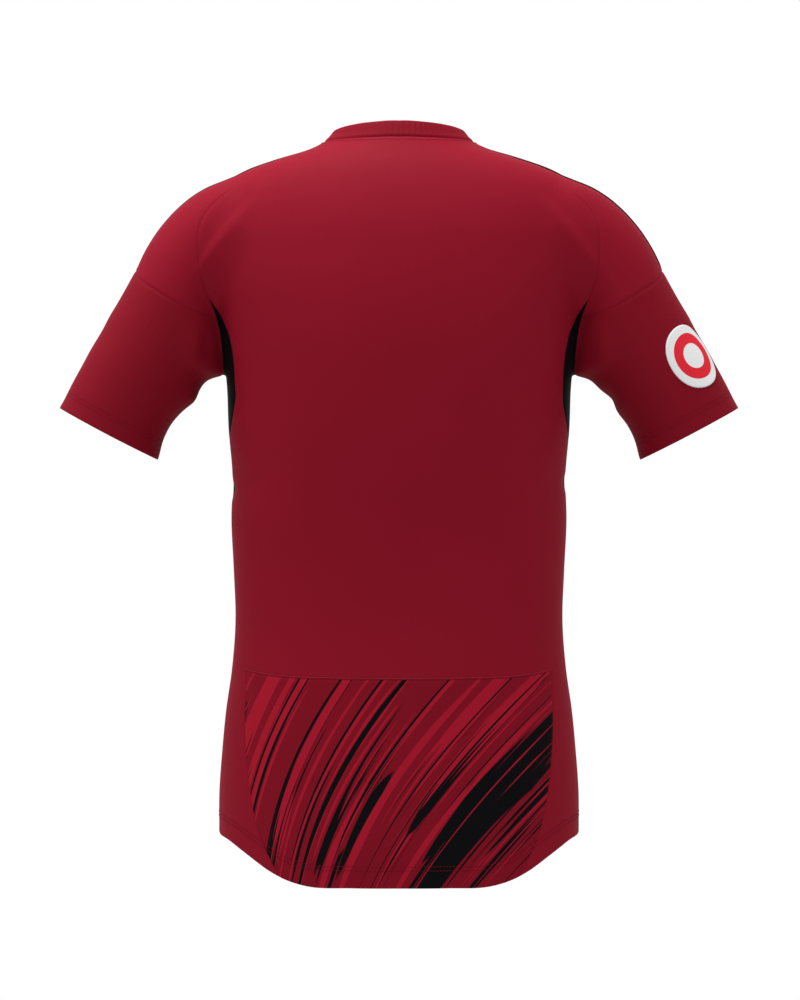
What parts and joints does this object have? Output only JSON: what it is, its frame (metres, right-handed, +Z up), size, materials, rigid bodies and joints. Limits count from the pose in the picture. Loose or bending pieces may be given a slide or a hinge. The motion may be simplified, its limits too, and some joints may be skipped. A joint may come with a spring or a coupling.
{
  "type": "football jersey",
  "caption": "Short-sleeved crew-neck football jersey, filled out as worn and hollow, with dark underarm inserts, a printed lower back, a drop hem and a plain sleeve patch.",
  "frame": {"origin": "midway between the two points where the shoulder seams meet the neck, where the jersey hangs on its wearer", "axes": "+Z up, -Y towards the front of the jersey, +X towards the wearer's left"},
  "size_m": [0.6776, 0.2651, 0.7473],
  "materials": {
    "red_knit": "fine matt polyester knit",
    "dark_red_knit": "fine matt polyester knit with a dark tonal print",
    "black_knit": "fine matt polyester knit",
    "white_twill": "flat twill patch"
  },
  "bodies": {
    "root": {"back_panel": "red_knit", "back_hem_panel": "dark_red_knit", "front_panel": "red_knit", "side_insert_left": "black_knit", "side_insert_right": "black_knit", "sleeve_upper_left": "red_knit", "sleeve_upper_right": "red_knit", "sleeve_lower_left": "dark_red_knit", "sleeve_lower_right": "dark_red_knit", "collar_band": "red_knit", "sleeve_patch": "white_twill"}
  },
  "joints": []
}
